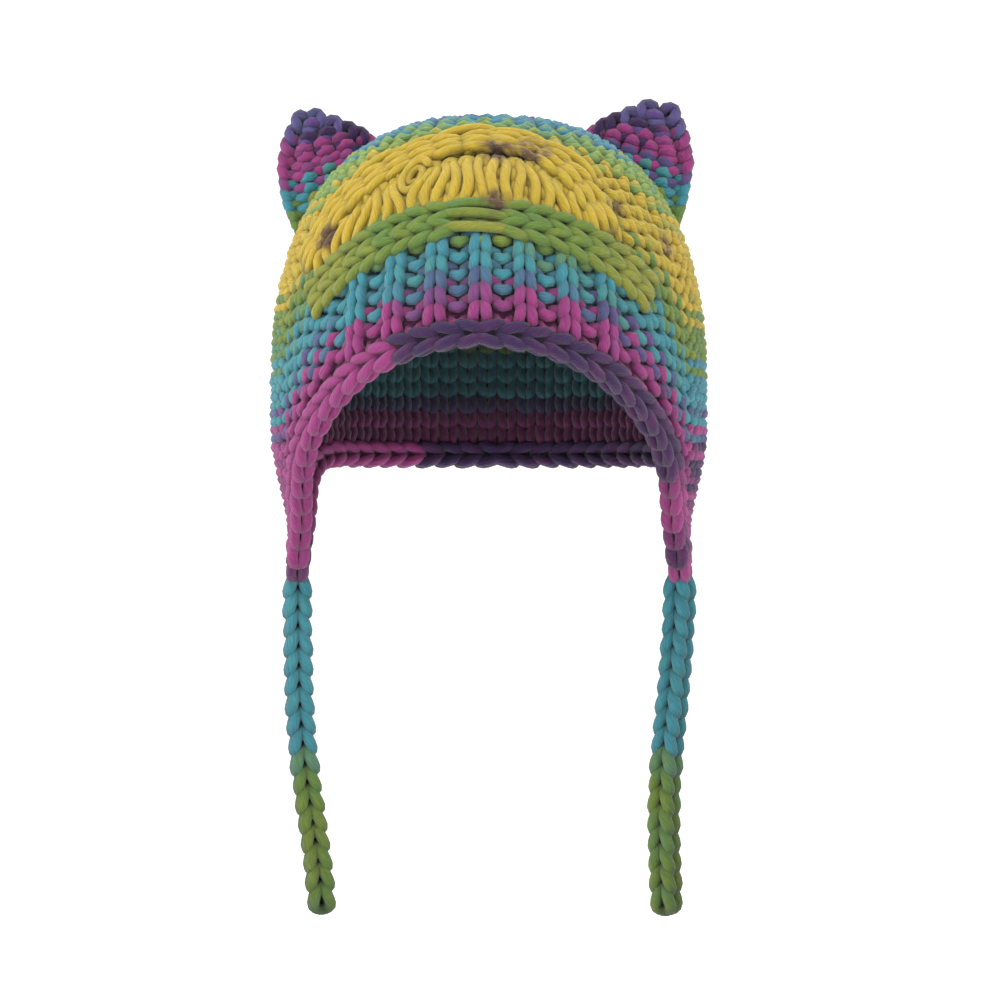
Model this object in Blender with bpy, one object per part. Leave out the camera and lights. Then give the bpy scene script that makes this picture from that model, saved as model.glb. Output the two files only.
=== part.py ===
"""Knitted cat ear beanie with two earflaps, an edging cord round the whole hem and two free ties.

Metres, +Z up. The front of the hat faces -Y and its left side, seen from the front, is at -X.
The origin is the middle of the head opening, level with the lower edge of the front rim.
Azimuths turn round Z in degrees: 0 is the front, 90 the side at +X and 180 the back.
"""

import math

import bpy
import numpy as np

# Outer form of the crown: an oval waist that carries a rounded dome
HALF_WIDTH = 0.0807
HALF_DEPTH = 0.0970
DOME_HEIGHT = 0.1032
WAIST_Z = -0.0150
DOME_POWER = 2.5
WALL = 0.0070

# Below the cheeks the sides draw in towards the ties
TUCK = 0.0065
TUCK_TOP_Z = -0.0280
TUCK_DEPTH = 0.0400

# Edging cord that runs round the hem and both flaps
EDGING_RADIUS = 0.0040
EDGING_STEP = 0.0055
CLEARANCE = 0.0005

# Hem line, along the middle of the edging. The front arch drops as a tilted cut does
ARCH_DROP = 0.1000
ARCH_END = 74.0
HEM_DROP = 0.0840
# azimuth in degrees, drop as a share of HEM_DROP
HEM = (
    (79.0, 0.960),
    (85.0, 1.000),
    (91.0, 0.960),
    (98.0, 0.850),
    (107.0, 0.700),
    (116.0, 0.560),
    (126.0, 0.490),
    (140.0, 0.476),
    (180.0, 0.476),
)

# The crown stops here at the sides, and the flaps take over
JOIN_Z = -0.0420

# Raised knitting on the front, measured up from the crown's lower edge
RIB_COUNT = 7
RIB_PITCH = 0.0164
RIB_RISE = 0.0024
RIB_TOP = 0.0290
RIB_FADE = 0.0040
CABLE_RISE = 0.0026
CABLE_HALF_HEIGHT = 0.0065
CABLE_SPAN = 44.0
CABLE_FADE = 6.0
LOWER_CABLE = 0.0360
UPPER_CABLE = 0.0720

# How finely the crown is divided
FRONT_SPAN = 45.0
FRONT_COLUMNS = 44
REST_COLUMNS = 44
LOW_ROWS = 20
TOP_ROWS = 8
LOW_REACH = 0.0900
INNER_ROWS = 11

# Ears: padded knitted triangles, which stand on the dome beside its top. Each foot is an
# angle from straight up, seen from the front. The rise is the tip's above the inner foot
LEFT_EAR = {"inner_foot": 22.5, "width": 0.0365, "rise": 0.0100, "height": 0.0505}
RIGHT_EAR = {"inner_foot": 19.5, "width": 0.0436, "rise": 0.0125, "height": 0.0545}
EAR_OUTER_FOOT = 51.5
EAR_BULGE = 0.0436
EAR_Y = 0.0040
EAR_THICKNESS = 0.0150
EAR_SPREAD = 9

# A row for each section from base to tip: how far its ends lie out from and above their feet,
# as shares of the ear's width or bulge and of its rise or height, and its share of thickness
EAR_COLUMNS = ("inner_out", "inner_up", "outer_out", "outer_up", "thickness")
EAR_SECTIONS = (
    (0.000, 0.000, 0.000, 0.000, 1.00),
    (0.110, 0.260, 0.010, 0.170, 1.00),
    (0.220, 0.440, 0.045, 0.330, 0.98),
    (0.330, 0.600, 0.085, 0.500, 0.94),
    (0.440, 0.740, 0.085, 0.640, 0.88),
    (0.545, 0.870, 0.060, 0.775, 0.78),
    (0.640, 0.980, 0.020, 0.880, 0.60),
    (0.715, 1.000, -0.035, 0.935, 0.34),
)

# Earflaps
FLAP_SPREAD = 12
FLAP_ROWS = 8
FLAP_TIP_WIDTH = 0.0060

# Ties: knitted cords, along routes from the flap's tip down. Hand-set points x, y, z
TIE_RADIUS = 0.0055
TIE_POINTS = 14
TIES = (
    (
        "tie_left",
        (
            (-0.0706, -0.0062, -0.0843),
            (-0.0706, -0.0066, -0.0960),
            (-0.0702, -0.0076, -0.1090),
            (-0.0699, -0.0086, -0.1220),
            (-0.0692, -0.0092, -0.1350),
            (-0.0676, -0.0093, -0.1520),
            (-0.0652, -0.0090, -0.1700),
            (-0.0628, -0.0086, -0.1880),
            (-0.0612, -0.0084, -0.2060),
        ),
    ),
    (
        "tie_right",
        (
            (0.0704, -0.0062, -0.0843),
            (0.0701, -0.0066, -0.0960),
            (0.0692, -0.0077, -0.1090),
            (0.0680, -0.0088, -0.1230),
            (0.0664, -0.0095, -0.1390),
            (0.0650, -0.0097, -0.1560),
            (0.0645, -0.0096, -0.1730),
            (0.0650, -0.0092, -0.1900),
            (0.0656, -0.0088, -0.2060),
        ),
    ),
)

COLOURS = {
    "crown": (0.62, 0.44, 0.07),
    "ear": (0.16, 0.30, 0.10),
    "edging": (0.07, 0.03, 0.14),
    "earflap": (0.42, 0.08, 0.26),
    "tie": (0.07, 0.30, 0.42),
}


def clear_scene():
    for item in list(bpy.data.objects):
        bpy.data.objects.remove(item, do_unlink=True)


def yarn_material(name, colour):
    material = bpy.data.materials.new(name)
    material.use_nodes = True
    shader = material.node_tree.nodes["Principled BSDF"]
    shader.inputs["Base Color"].default_value = (*colour, 1.0)
    shader.inputs["Roughness"].default_value = 0.9
    shader.inputs["Metallic"].default_value = 0.0
    return material


def add_mesh(name, points, faces, colour):
    mesh = bpy.data.meshes.new(name)
    mesh.from_pydata([tuple(map(float, point)) for point in points], [], faces)
    mesh.validate()
    mesh.shade_smooth()
    mesh.materials.append(yarn_material(name, colour))
    item = bpy.data.objects.new(name, mesh)
    bpy.context.scene.collection.objects.link(item)
    return item


def smooth_step(value):
    value = min(max(value, 0.0), 1.0)
    return value * value * (3.0 - 2.0 * value)


def smooth_curve(knots, values, wanted):
    """Natural cubic curve through a few hand-set values."""
    knots = np.asarray(knots, float)
    values = np.asarray(values, float)
    steps = np.diff(knots)
    count = len(knots)
    system = np.eye(count)
    sides = np.zeros(count)
    for i in range(1, count - 1):
        system[i, i - 1 : i + 2] = steps[i - 1], 2 * (steps[i - 1] + steps[i]), steps[i]
        rise = (values[i + 1] - values[i]) / steps[i] - (values[i] - values[i - 1]) / steps[i - 1]
        sides[i] = 6.0 * rise
    bend = np.linalg.solve(system, sides)
    k = np.clip(np.searchsorted(knots, wanted) - 1, 0, count - 2)
    left = knots[k + 1] - wanted
    right = wanted - knots[k]
    step = steps[k]
    cubic = (bend[k] * left**3 + bend[k + 1] * right**3) / (6 * step)
    linear = (values[k] / step - bend[k] * step / 6) * left
    return cubic + linear + (values[k + 1] / step - bend[k + 1] * step / 6) * right


def oval_radius(azimuth, inset):
    """Distance from the Z axis to the waist's outline, less an inset."""
    turn = math.radians(azimuth)
    across = math.sin(turn) / (HALF_WIDTH - inset)
    along = math.cos(turn) / (HALF_DEPTH - inset)
    return 1.0 / math.hypot(across, along)


def girth_from_front(azimuth):
    """Distance along the waist from the front to an azimuth up to 180."""
    turns = np.linspace(0.0, azimuth, 61)
    outline = np.array([place(turn, oval_radius(turn, 0.0), 0.0) for turn in turns])
    return float(np.linalg.norm(np.diff(outline, axis=0), axis=1).sum())


def drawn_in(z):
    """Share of the waist's radius that is left at a height below the waist."""
    return 1.0 - TUCK / HALF_WIDTH * smooth_step((TUCK_TOP_Z - z) / TUCK_DEPTH)


def place(azimuth, radius, z):
    turn = math.radians(azimuth)
    return np.array((radius * math.sin(turn), -radius * math.cos(turn), z))


def side_point(azimuth, z, inset):
    """A point of the body below the waist."""
    return place(azimuth, oval_radius(azimuth, inset) * drawn_in(z), z)


def front_arch(azimuth):
    return EDGING_RADIUS - ARCH_DROP * (1.0 - math.cos(math.radians(azimuth)))


def hem_curve():
    """Azimuths from 0 to 180 and the height of the edging's middle at each."""
    arch = [0.0, 15.0, 30.0, 45.0, 60.0, ARCH_END]
    knots = arch + [row[0] for row in HEM]
    heights = [front_arch(a) for a in arch] + [EDGING_RADIUS - HEM_DROP * row[1] for row in HEM]
    azimuths = np.linspace(0.0, 180.0, 721)
    curve = smooth_curve(knots, heights, azimuths)
    arched = np.array([front_arch(a) for a in azimuths])
    return azimuths, np.where(azimuths <= ARCH_END, arched, curve)


HEM_AZIMUTHS, HEM_HEIGHTS = hem_curve()


def fold(azimuth):
    """The same place on the half from 0 to 180, because both halves are alike."""
    return abs((azimuth + 180.0) % 360.0 - 180.0)


def hem_z(azimuth):
    return float(np.interp(fold(azimuth), HEM_AZIMUTHS, HEM_HEIGHTS))


def above_edging():
    """Heights, along the hem, of the cloth's own edge: everywhere clear of the edging's surface."""
    reach = EDGING_RADIUS + CLEARANCE
    radii = np.array([oval_radius(a, WALL / 2) for a in HEM_AZIMUTHS])
    steps = np.radians(np.diff(HEM_AZIMUTHS)) * (radii[:-1] + radii[1:]) / 2
    along = np.append(0.0, np.cumsum(steps))
    apart = np.abs(along[:, None] - along[None, :])
    lift = np.sqrt(np.clip(reach**2 - apart**2, 0.0, None))
    return np.where(apart < reach, HEM_HEIGHTS[None, :] + lift, -1.0).max(axis=1)


EDGE_HEIGHTS = above_edging()


def crown_edge_z(azimuth):
    cloth = float(np.interp(fold(azimuth), HEM_AZIMUTHS, EDGE_HEIGHTS))
    return max(cloth, JOIN_Z)


def meridian(azimuth, inset):
    """The line from the crown's lower edge up to the top: distances along it, radii and heights."""
    low = np.linspace(crown_edge_z(azimuth), WAIST_Z, 13)
    low = low[:-1] if low[0] < WAIST_Z else low[:0]
    turn = np.linspace(0.0, math.pi / 2, 91)
    radii = oval_radius(azimuth, inset) * np.clip(np.cos(turn), 0, 1) ** (2 / DOME_POWER)
    heights = WAIST_Z + (DOME_HEIGHT - inset) * np.sin(turn) ** (2 / DOME_POWER)
    radii[-1] = 0.0
    if not len(low):
        start = crown_edge_z(azimuth)
        kept = heights > start
        first = float(np.interp(start, heights, radii))
        radii = np.append(first, radii[kept])
        heights = np.append(start, heights[kept])
    below = [oval_radius(azimuth, inset) * drawn_in(z) for z in low]
    radii = np.append(below, radii)
    heights = np.append(low, heights)
    lengths = np.append(0.0, np.cumsum(np.hypot(np.diff(radii), np.diff(heights))))
    return lengths, radii, heights


FRONT_LENGTH = meridian(0.0, 0.0)[0][-1]


def row_share(azimuth, distance):
    """Share of a meridian below a row that starts this far up the front.

    The rows lie at the same distance from the edge all round, and close up only over the top.
    """
    length = meridian(azimuth, 0.0)[0][-1]
    share = distance / FRONT_LENGTH
    gather = smooth_step((share - 0.5) / 0.5)
    return (distance + (length - FRONT_LENGTH) * gather) / length


def cloth_point(azimuth, share, inset, raised=0.0):
    lengths, radii, heights = meridian(azimuth, inset)
    along = share * lengths[-1]
    radius = float(np.interp(along, lengths, radii))
    z = float(np.interp(along, lengths, heights))
    step = 0.02 * lengths[-1]
    before, after = max(along - step, 0.0), min(along + step, lengths[-1])
    lean_r = float(np.interp(after, lengths, radii) - np.interp(before, lengths, radii))
    lean_z = float(np.interp(after, lengths, heights) - np.interp(before, lengths, heights))
    size = math.hypot(lean_r, lean_z)
    return place(azimuth, radius + raised * lean_z / size, z - raised * lean_r / size)


def relief(azimuth, distance):
    """How far the front's ribs and rope arches stand out of the plain knitting."""
    inner = smooth_step((CABLE_SPAN - fold(azimuth)) / CABLE_FADE)
    girth = girth_from_front(fold(azimuth))
    rise = 0.0
    if girth < RIB_PITCH * RIB_COUNT / 2 and distance < RIB_TOP:
        wave = 0.5 + 0.5 * math.cos(2 * math.pi * girth / RIB_PITCH)
        ends = smooth_step(distance / RIB_FADE) * smooth_step((RIB_TOP - distance) / RIB_FADE)
        rise = RIB_RISE * wave * ends
    for middle in (LOWER_CABLE, UPPER_CABLE):
        away = abs(distance - middle) / CABLE_HALF_HEIGHT
        if away < 1.0:
            rise = max(rise, CABLE_RISE * inner * (1.0 - away**2))
    return rise


def column_azimuths():
    fine = [FRONT_SPAN * (2 * i / FRONT_COLUMNS - 1) for i in range(FRONT_COLUMNS)]
    around = 360.0 - 2 * FRONT_SPAN
    return fine + [FRONT_SPAN + around * i / REST_COLUMNS for i in range(REST_COLUMNS)]


def crown():
    """The domed body, open below, with its ribs and rope arches raised on the front."""
    azimuths = column_azimuths()
    count = len(azimuths)
    low = [LOW_REACH * i / LOW_ROWS for i in range(LOW_ROWS)]
    rest = FRONT_LENGTH - LOW_REACH
    rows = low + [LOW_REACH + rest * i / TOP_ROWS for i in range(TOP_ROWS)]
    points = []
    for distance in rows:
        for azimuth in azimuths:
            share = row_share(azimuth, distance)
            points.append(cloth_point(azimuth, share, 0.0, relief(azimuth, distance)))
    inner_start = len(points)
    for row in range(INNER_ROWS):
        for azimuth in azimuths:
            share = row_share(azimuth, FRONT_LENGTH * row / INNER_ROWS)
            points.append(cloth_point(azimuth, share, WALL))
    top = len(points)
    points += [(0.0, 0.0, WAIST_Z + DOME_HEIGHT), (0.0, 0.0, WAIST_Z + DOME_HEIGHT - WALL)]
    faces = []
    for i in range(count):
        j = (i + 1) % count
        for row in range(len(rows) - 1):
            a, b = row * count, (row + 1) * count
            faces.append((a + i, a + j, b + j, b + i))
        last = (len(rows) - 1) * count
        faces.append((last + i, last + j, top))
        for row in range(INNER_ROWS - 1):
            a = inner_start + row * count
            b = a + count
            faces.append((a + j, a + i, b + i, b + j))
        last = inner_start + (INNER_ROWS - 1) * count
        faces.append((last + j, last + i, top + 1))
        faces.append((j, i, inner_start + i, inner_start + j))
    return add_mesh("crown", points, faces, COLOURS["crown"])


def slab(name, outer, inner, colour):
    """A closed thick sheet between two grids of points that have the same rows and columns."""
    rows, columns = len(outer), len(outer[0])
    points = [p for row in outer for p in row] + [p for row in inner for p in row]
    back = rows * columns
    faces = []
    for i in range(rows - 1):
        for j in range(columns - 1):
            a = i * columns + j
            ring = (a, a + 1, a + columns + 1, a + columns)
            faces.append(ring)
            faces.append(tuple(back + k for k in reversed(ring)))
    rim = [j for j in range(columns)]
    rim += [(i + 1) * columns - 1 for i in range(1, rows)]
    rim += [(rows - 1) * columns + j for j in range(columns - 2, -1, -1)]
    rim += [i * columns for i in range(rows - 2, 0, -1)]
    for a, b in zip(rim, rim[1:] + rim[:1]):
        faces.append((b, a, back + a, back + b))
    return add_mesh(name, points, faces, colour)


def onto_dome(point, clearance):
    """Slide a point in X and Z, along the line from the dome's middle, to just clear of the dome."""
    x, y, z = point
    height = z - WAIST_Z
    low, high = 0.0, 4.0
    for _ in range(40):
        middle = (low + high) / 2
        across = abs(x) * middle / (HALF_WIDTH + clearance)
        round_share = math.hypot(across, y / (HALF_DEPTH + clearance)) ** DOME_POWER
        rise_share = max(height * middle / (DOME_HEIGHT + clearance), 0.0) ** DOME_POWER
        if round_share + rise_share < 1.0:
            low = middle
        else:
            high = middle
    return np.array((x * high, y, WAIST_Z + height * high))


def ear_foot(angle):
    """Where one end of the ear's base stands on the dome, as x and z."""
    lean = math.radians(angle)
    towards = (DOME_HEIGHT * math.sin(lean), EAR_Y, WAIST_Z + DOME_HEIGHT * math.cos(lean))
    return onto_dome(towards, CLEARANCE)[[0, 2]]


def ear(name, side, sizes):
    """A padded triangle that stands on the side of the dome."""
    inner_foot, outer_foot = ear_foot(sizes["inner_foot"]), ear_foot(EAR_OUTER_FOOT)
    front, back = [], []
    for number, section in enumerate(EAR_SECTIONS):
        row = dict(zip(EAR_COLUMNS, section))
        rise_in, rise_out = row["inner_up"] * sizes["rise"], row["outer_up"] * sizes["height"]
        start = inner_foot + (row["inner_out"] * sizes["width"], rise_in)
        end = outer_foot + (row["outer_out"] * EAR_BULGE, rise_out)
        faces = ([], [])
        for i in range(EAR_SPREAD):
            share = i / (EAR_SPREAD - 1)
            x, z = start + (end - start) * share
            plump = (1.0 - abs(2 * share - 1) ** 3) ** 0.5
            half = EAR_THICKNESS / 2 * row["thickness"] * (0.35 + 0.65 * plump)
            for points, turn in zip(faces, (-1, 1)):
                point = np.array((side * x, EAR_Y + turn * half, z))
                points.append(onto_dome(point, CLEARANCE) if number == 0 else point)
        front.append(faces[0])
        back.append(faces[1])
    if side < 0:
        front, back = back, front
    return slab(name, front, back, COLOURS["ear"])


def flap_ends(z):
    """Azimuths of the flap's front and back edges at a height."""
    tip = int(np.argmin(EDGE_HEIGHTS))
    ahead = np.interp(-z, -EDGE_HEIGHTS[: tip + 1], HEM_AZIMUTHS[: tip + 1])
    behind = np.interp(z, EDGE_HEIGHTS[tip:], HEM_AZIMUTHS[tip:])
    return float(ahead), float(behind)


def flap_tip_z():
    """The height where the flap has narrowed to the width of its tip."""
    low, high = float(EDGE_HEIGHTS.min()), JOIN_Z
    for _ in range(40):
        middle = (low + high) / 2
        ahead, behind = flap_ends(middle)
        width = math.radians(behind - ahead) * HALF_WIDTH
        low, high = (middle, high) if width < FLAP_TIP_WIDTH else (low, middle)
    return high


def earflap(name, side):
    """The tongue of cloth below the crown that narrows to the tie."""
    top, bottom = JOIN_Z - CLEARANCE, flap_tip_z()
    sheets = []
    for inset in (0.0, WALL):
        rows = []
        for i in range(FLAP_ROWS + 1):
            z = top + (bottom - top) * i / FLAP_ROWS
            ahead, behind = flap_ends(z)
            spread = [ahead + (behind - ahead) * j / FLAP_SPREAD for j in range(FLAP_SPREAD + 1)]
            rows.append([side_point(side * azimuth, z, inset) for azimuth in spread])
        sheets.append(rows)
    if side > 0:
        sheets.reverse()
    return slab(name, sheets[0], sheets[1], COLOURS["earflap"])


def cord_curve(name, points, radius, closed, colour):
    curve = bpy.data.curves.new(name, "CURVE")
    curve.dimensions = "3D"
    curve.bevel_depth = radius
    curve.bevel_resolution = 2
    curve.use_fill_caps = not closed
    spline = curve.splines.new("POLY")
    spline.points.add(len(points) - 1)
    for knot, point in zip(spline.points, points):
        knot.co = (*map(float, point), 1.0)
    spline.use_cyclic_u = closed
    curve.materials.append(yarn_material(name, colour))
    item = bpy.data.objects.new(name, curve)
    bpy.context.scene.collection.objects.link(item)
    return item


def hem_stretch(start, end):
    """Evenly spaced points of the edging's middle between two azimuths, without the last."""
    azimuths = np.linspace(start, end, 721)
    route = np.array([side_point(a, hem_z(a), WALL / 2) for a in azimuths])
    along = np.append(0.0, np.cumsum(np.linalg.norm(np.diff(route, axis=0), axis=1)))
    count = round(along[-1] / EDGING_STEP)
    places = np.linspace(0.0, along[-1], count + 1)[:-1]
    return np.stack([np.interp(places, along, route[:, k]) for k in range(3)], axis=1)


def edging():
    """One cord round the face, both flaps and the neck, at the middle of the wall."""
    tip = float(HEM_AZIMUTHS[np.argmin(HEM_HEIGHTS)])
    points = np.vstack((hem_stretch(-tip, tip), hem_stretch(tip, 360.0 - tip)))
    return cord_curve("edging", points, EDGING_RADIUS, True, COLOURS["edging"])


def tie(name, route):
    """A free knitted cord that hangs from the flap's tip."""
    route = np.array(route)
    steps = np.linalg.norm(np.diff(route, axis=0), axis=1)
    along = np.append(0.0, np.cumsum(steps))
    places = np.linspace(0.0, along[-1], TIE_POINTS)
    points = np.stack([smooth_curve(along, route[:, k], places) for k in range(3)], axis=1)
    return cord_curve(name, points, TIE_RADIUS, False, COLOURS["tie"])


def main():
    clear_scene()
    crown()
    ear("ear_left", -1, LEFT_EAR)
    ear("ear_right", 1, RIGHT_EAR)
    earflap("earflap_left", -1)
    earflap("earflap_right", 1)
    edging()
    for name, route in TIES:
        tie(name, route)


main()
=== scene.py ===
"""Knitted cat ear beanie, dressed stitch by stitch: every row of its knitting is a yarn of its own."""

import math

import bmesh
import bpy
import numpy as np
from bpy.props import FloatProperty, FloatVectorProperty, PointerProperty
from bpy.types import Operator, Panel, PropertyGroup
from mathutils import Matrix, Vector


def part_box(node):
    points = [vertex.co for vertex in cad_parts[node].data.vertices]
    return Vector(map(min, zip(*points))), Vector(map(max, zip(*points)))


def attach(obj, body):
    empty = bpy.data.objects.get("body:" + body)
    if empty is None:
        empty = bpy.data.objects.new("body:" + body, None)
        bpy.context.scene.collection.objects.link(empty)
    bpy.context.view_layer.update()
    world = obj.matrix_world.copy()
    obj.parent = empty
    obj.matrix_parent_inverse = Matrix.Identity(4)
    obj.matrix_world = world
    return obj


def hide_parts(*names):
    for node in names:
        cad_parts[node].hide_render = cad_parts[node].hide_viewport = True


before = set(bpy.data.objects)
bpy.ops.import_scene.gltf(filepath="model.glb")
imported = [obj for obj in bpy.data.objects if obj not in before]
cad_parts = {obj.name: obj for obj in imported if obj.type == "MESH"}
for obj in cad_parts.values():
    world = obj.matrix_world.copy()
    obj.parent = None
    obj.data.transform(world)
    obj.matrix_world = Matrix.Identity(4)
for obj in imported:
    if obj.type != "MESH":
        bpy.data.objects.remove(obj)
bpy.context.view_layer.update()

bl_info = {
    "name": "Cat ear beanie",
    "version": (1, 0, 0),
    "blender": (4, 5, 0),
    "location": "3D View > Sidebar > Beanie",
    "description": "Knits a striped cat ear beanie with earflaps and ties",
    "category": "Object",
}

# The body's form, read from the frame's solids where they show it
CROWN_LOW, CROWN_HIGH = (np.array(corner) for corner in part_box("crown"))
HALF_WIDTH = (CROWN_HIGH[0] - CROWN_LOW[0]) / 2
HALF_DEPTH = CROWN_HIGH[1]
WAIST_Z = -0.0150
DOME_HEIGHT = CROWN_HIGH[2] - WAIST_Z
DOME_POWER = 2.5
WALL = 0.0070
MID_INSET = WALL / 2
TUCK = 0.0065
TUCK_TOP_Z = -0.0280
TUCK_DEPTH = 0.0400
SLOPE_STEP = 0.0005

# The hem line along the middle of the edging: an arch over the face, then azimuths and shares of a drop
EDGING_RADIUS = 0.0040
CLEARANCE = 0.0005
ARCH_DROP = 0.1000
ARCH_AZIMUTHS = (0.0, 15.0, 30.0, 45.0, 60.0, 74.0)
HEM_DROP = 0.0840
JOIN_Z = CROWN_LOW[2]
HEM = (
    (79.0, 0.960), (85.0, 1.000), (91.0, 0.960), (98.0, 0.850), (107.0, 0.700),
    (116.0, 0.560), (126.0, 0.490), (140.0, 0.476), (180.0, 0.476),
)

# How the crown is knitted: rows up from its edge, and the front's panel of ribs and ropes
KNIT, PURL = 1, -1
STITCHES_ROUND = 68
LOWER_ROWS = 14
FIRST_ROW = 0.0035
RIB_ROWS = 5
RIB_RISE = 0.0009
ROPE_BED = range(RIB_ROWS + 2, RIB_ROWS + 6)
PANEL_STITCHES = 7
CAP_STITCHES = 4
# The rounds above those, down from the crown's top
FIRST_RING = 0.0045
RING_ROOM = 0.2
RING_CALM = 0.01
RING_STEPS = 720
FEWEST_STITCHES = 3
# The skin inside the knitting, painted in full shade
SKIN_SHAPE = (60, 181)
SKIN_LOW = 0.004
CORE_FIBRE = 9.0
MERGE_REACH = 1e-6

# Handwork: how uneven the stitches are in level, lift, thickness and dye, and how the stripes wander
UNEVEN_LEVEL = 0.0003
UNEVEN_LIFT = 0.0002
UNEVEN_THICK = 0.04
UNEVEN_DYE = 0.15
WANDER = ((0.0012, 3, 1.7), (0.0010, 7, 2.9))
RING_WANDER = 0.0015
# Seeds of the uneven draws, to which each row adds its number
SEED = {
    "level": 10, "lift": 70, "thick": 130, "dye": 190, "ring_lift": 300, "ring_thick": 400,
    "ring_dye": 500, "ear_level": 600, "ear_dye": 700, "fan": 41,
}

# Where the dye changes on the front, as distances up from the crown's edge
CROWN_STRIPES = (-0.0060, 0.0110, 0.0150, 0.0290, 0.0430, 0.0800, 0.0980, 0.1180)
STRIPE_SOFTNESS = 0.0040
# How much higher the stripes lie on the flanks, at distances from the crown's edge
CLIMB_AT = (0.0080, 0.0360, 0.0570, 0.0890, 0.1200)
CLIMB_BY = (0.0000, 0.0080, 0.0140, 0.0090, 0.0030)
CLIMB_LEFT, CLIMB_RIGHT = 1.15, 0.95
FLANK_START, FLANK_SPAN = 12.0, 40.0
# The purple along the right edge
PURPLE_CLIMB = 0.0180
PURPLE_REACH = 0.0090
PURPLE_END = 86.0
# Where the dye left brown flecks: azimuth, distance up from the crown's edge and size
FLECKS = (
    (4.2, 0.0668, 0.0044), (16.0, 0.0700, 0.0046), (3.4, 0.0425, 0.0038), (-43.0, 0.0560, 0.0040),
    (58.0, 0.0740, 0.0036), (38.0, 0.0620, 0.0030), (-150.0, 0.0900, 0.0040), (120.0, 0.0700, 0.0040),
)
FLECK_LIFT = 0.003
FLECK_SPREAD = 1.8

# Yarns: points in a stitch and about the yarn, the round-off of its ends, and what its fibres read
SAMPLES = 12
KIND_BLEND = 0.25
SIDES = 8
# Painted shade on the sides of each yarn that turn into the gaps
SIDE_SHADE = 0.42
TIP_REACH = np.array((0.55, 0.85))
TIP_RADIUS = np.array((0.75, 0.05))
FIBRE_TWIST = 240.0
YARN_GAP = 0.05

# One chain link from its foot to its bend: along, across and up
LINK_HALF = (
    (0.00, 0.10, -0.60), (0.16, 0.20, 0.25), (0.48, 0.35, 0.90), (0.84, 0.49, 0.85),
    (1.10, 0.50, 0.20), (1.24, 0.28, -0.55), (1.28, 0.00, -0.80),
)
LINK_POINTS = 19
LINK_VARIES = 0.05
# Painted shade on a chain link's low parts
LINK_SHADE = 0.42
FILLING_POINTS = 90
# Painted shade on the plain yarn inside the chains
FILLING_SHADE = 0.9

# Rope arches over the front: azimuth and distance up from the crown's edge
LOWER_ROPE = ((-45.0, 0.0360), (-20.0, 0.0362), (0.0, 0.0365), (20.0, 0.0362), (43.0, 0.0360))
UPPER_ROPE = (
    (-52.0, 0.0600), (-44.0, 0.0660), (-30.0, 0.0700), (0.0, 0.0735),
    (15.0, 0.0715), (23.0, 0.0665), (28.0, 0.0590), (31.0, 0.0480),
)
ROPE_POINTS = 241
ROPE_LIFT = 0.0026
LOWER_LINK = {"width": 0.0058, "height": 0.0013, "lift": ROPE_LIFT, "start": 0.0085}
LOWER_PLACES = (-0.0033, 0.0033)
UPPER_LINK = {"width": 0.0048, "height": 0.0012, "lift": ROPE_LIFT}
UPPER_PLACES = (-0.0024, 0.0024)
UPPER_MIDDLE = 0.53
UPPER_STRETCH = 1.15
# Long strands over the lower rope's middle, and in a row along the upper rope
BRIDGE_PLACES = (-0.0046, -0.0012, 0.0030)
BRIDGE_REACH = 0.0155
STRAND_POINTS = 30
STRAND_SWAY = 0.0012
STRAND_RISE, STRAND_DIP = 0.0036, 0.0042
LACE_STARTS = (0.010, 0.72, 0.0165)
LACE_LENGTH = 0.024
LACE_PLACES = (-0.0064, -0.0080)

# The fan of long strands between the ropes, and the curl that they part round
GOLD = 5.0
ROPE_GREEN = 4.15
FAN_SPAN = (-45.0, 27.0)
FAN_STRANDS = 22
FAN_POINTS = 22
FAN_FOOT = 0.0420
FAN_GAP = 0.0092
FAN_LEAN = 0.9
FAN_STRAY = 0.7
FAN_LIFT = (0.0006, 0.0026, 0.0004)
FAN_PART = 2.6
FAN_PART_SIZE = (0.0062, 5.5)
# Painted shade at the tucked ends of the fan's strands
FAN_SHADE = 0.55
CURL_AZIMUTH = -18.6
CURL_DISTANCE = 0.0585
CURL_SIZE = (0.0054, 0.0078)
CURL_TURNS = 1.75
CURL_START = 0.6
CURL_CLOSES = 0.74
CURL_POINTS = 60

# The edging's links, and its dye on each side by azimuth from the front or the back
# Painted shade: the edging's links take an even extra shade
EDGING_LINK = {"width": 0.0062, "height": 0.0013, "lift": 0.0010, "painted_shade": (0.10, 0.10)}
EDGING_STRETCH = 1.15
EDGING_ENDS = (-0.3, -0.4)
EDGING_POINTS = 900
EDGING_FILLING = 0.0022
EDGING_DYES = {
    -1: ((0.0, 0.0), (16.0, 0.0), (20.0, 1.0), (77.5, 1.0), (79.5, 0.3), (90.0, 0.1)),
    1: (
        (0.0, 0.0), (56.0, 0.1), (62.0, 1.0), (70.0, 0.95),
        (73.0, 0.1), (75.5, 0.15), (78.0, 1.0), (90.0, 0.85),
    ),
}

# Each flap's dye by height
FLAP_DYES = {
    "earflap_left": ((-0.082, 0.30), (-0.076, 0.95)),
    "earflap_right": ((-0.080, 0.45), (-0.070, 0.95), (-0.053, 0.95), (-0.046, 0.25)),
}
FLAP_UNEVEN = 0.25
FLAP_SEEDS = 4000
FLAP_CORE = (12, 16)
FLAP_CORE_INSET = 0.001

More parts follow.
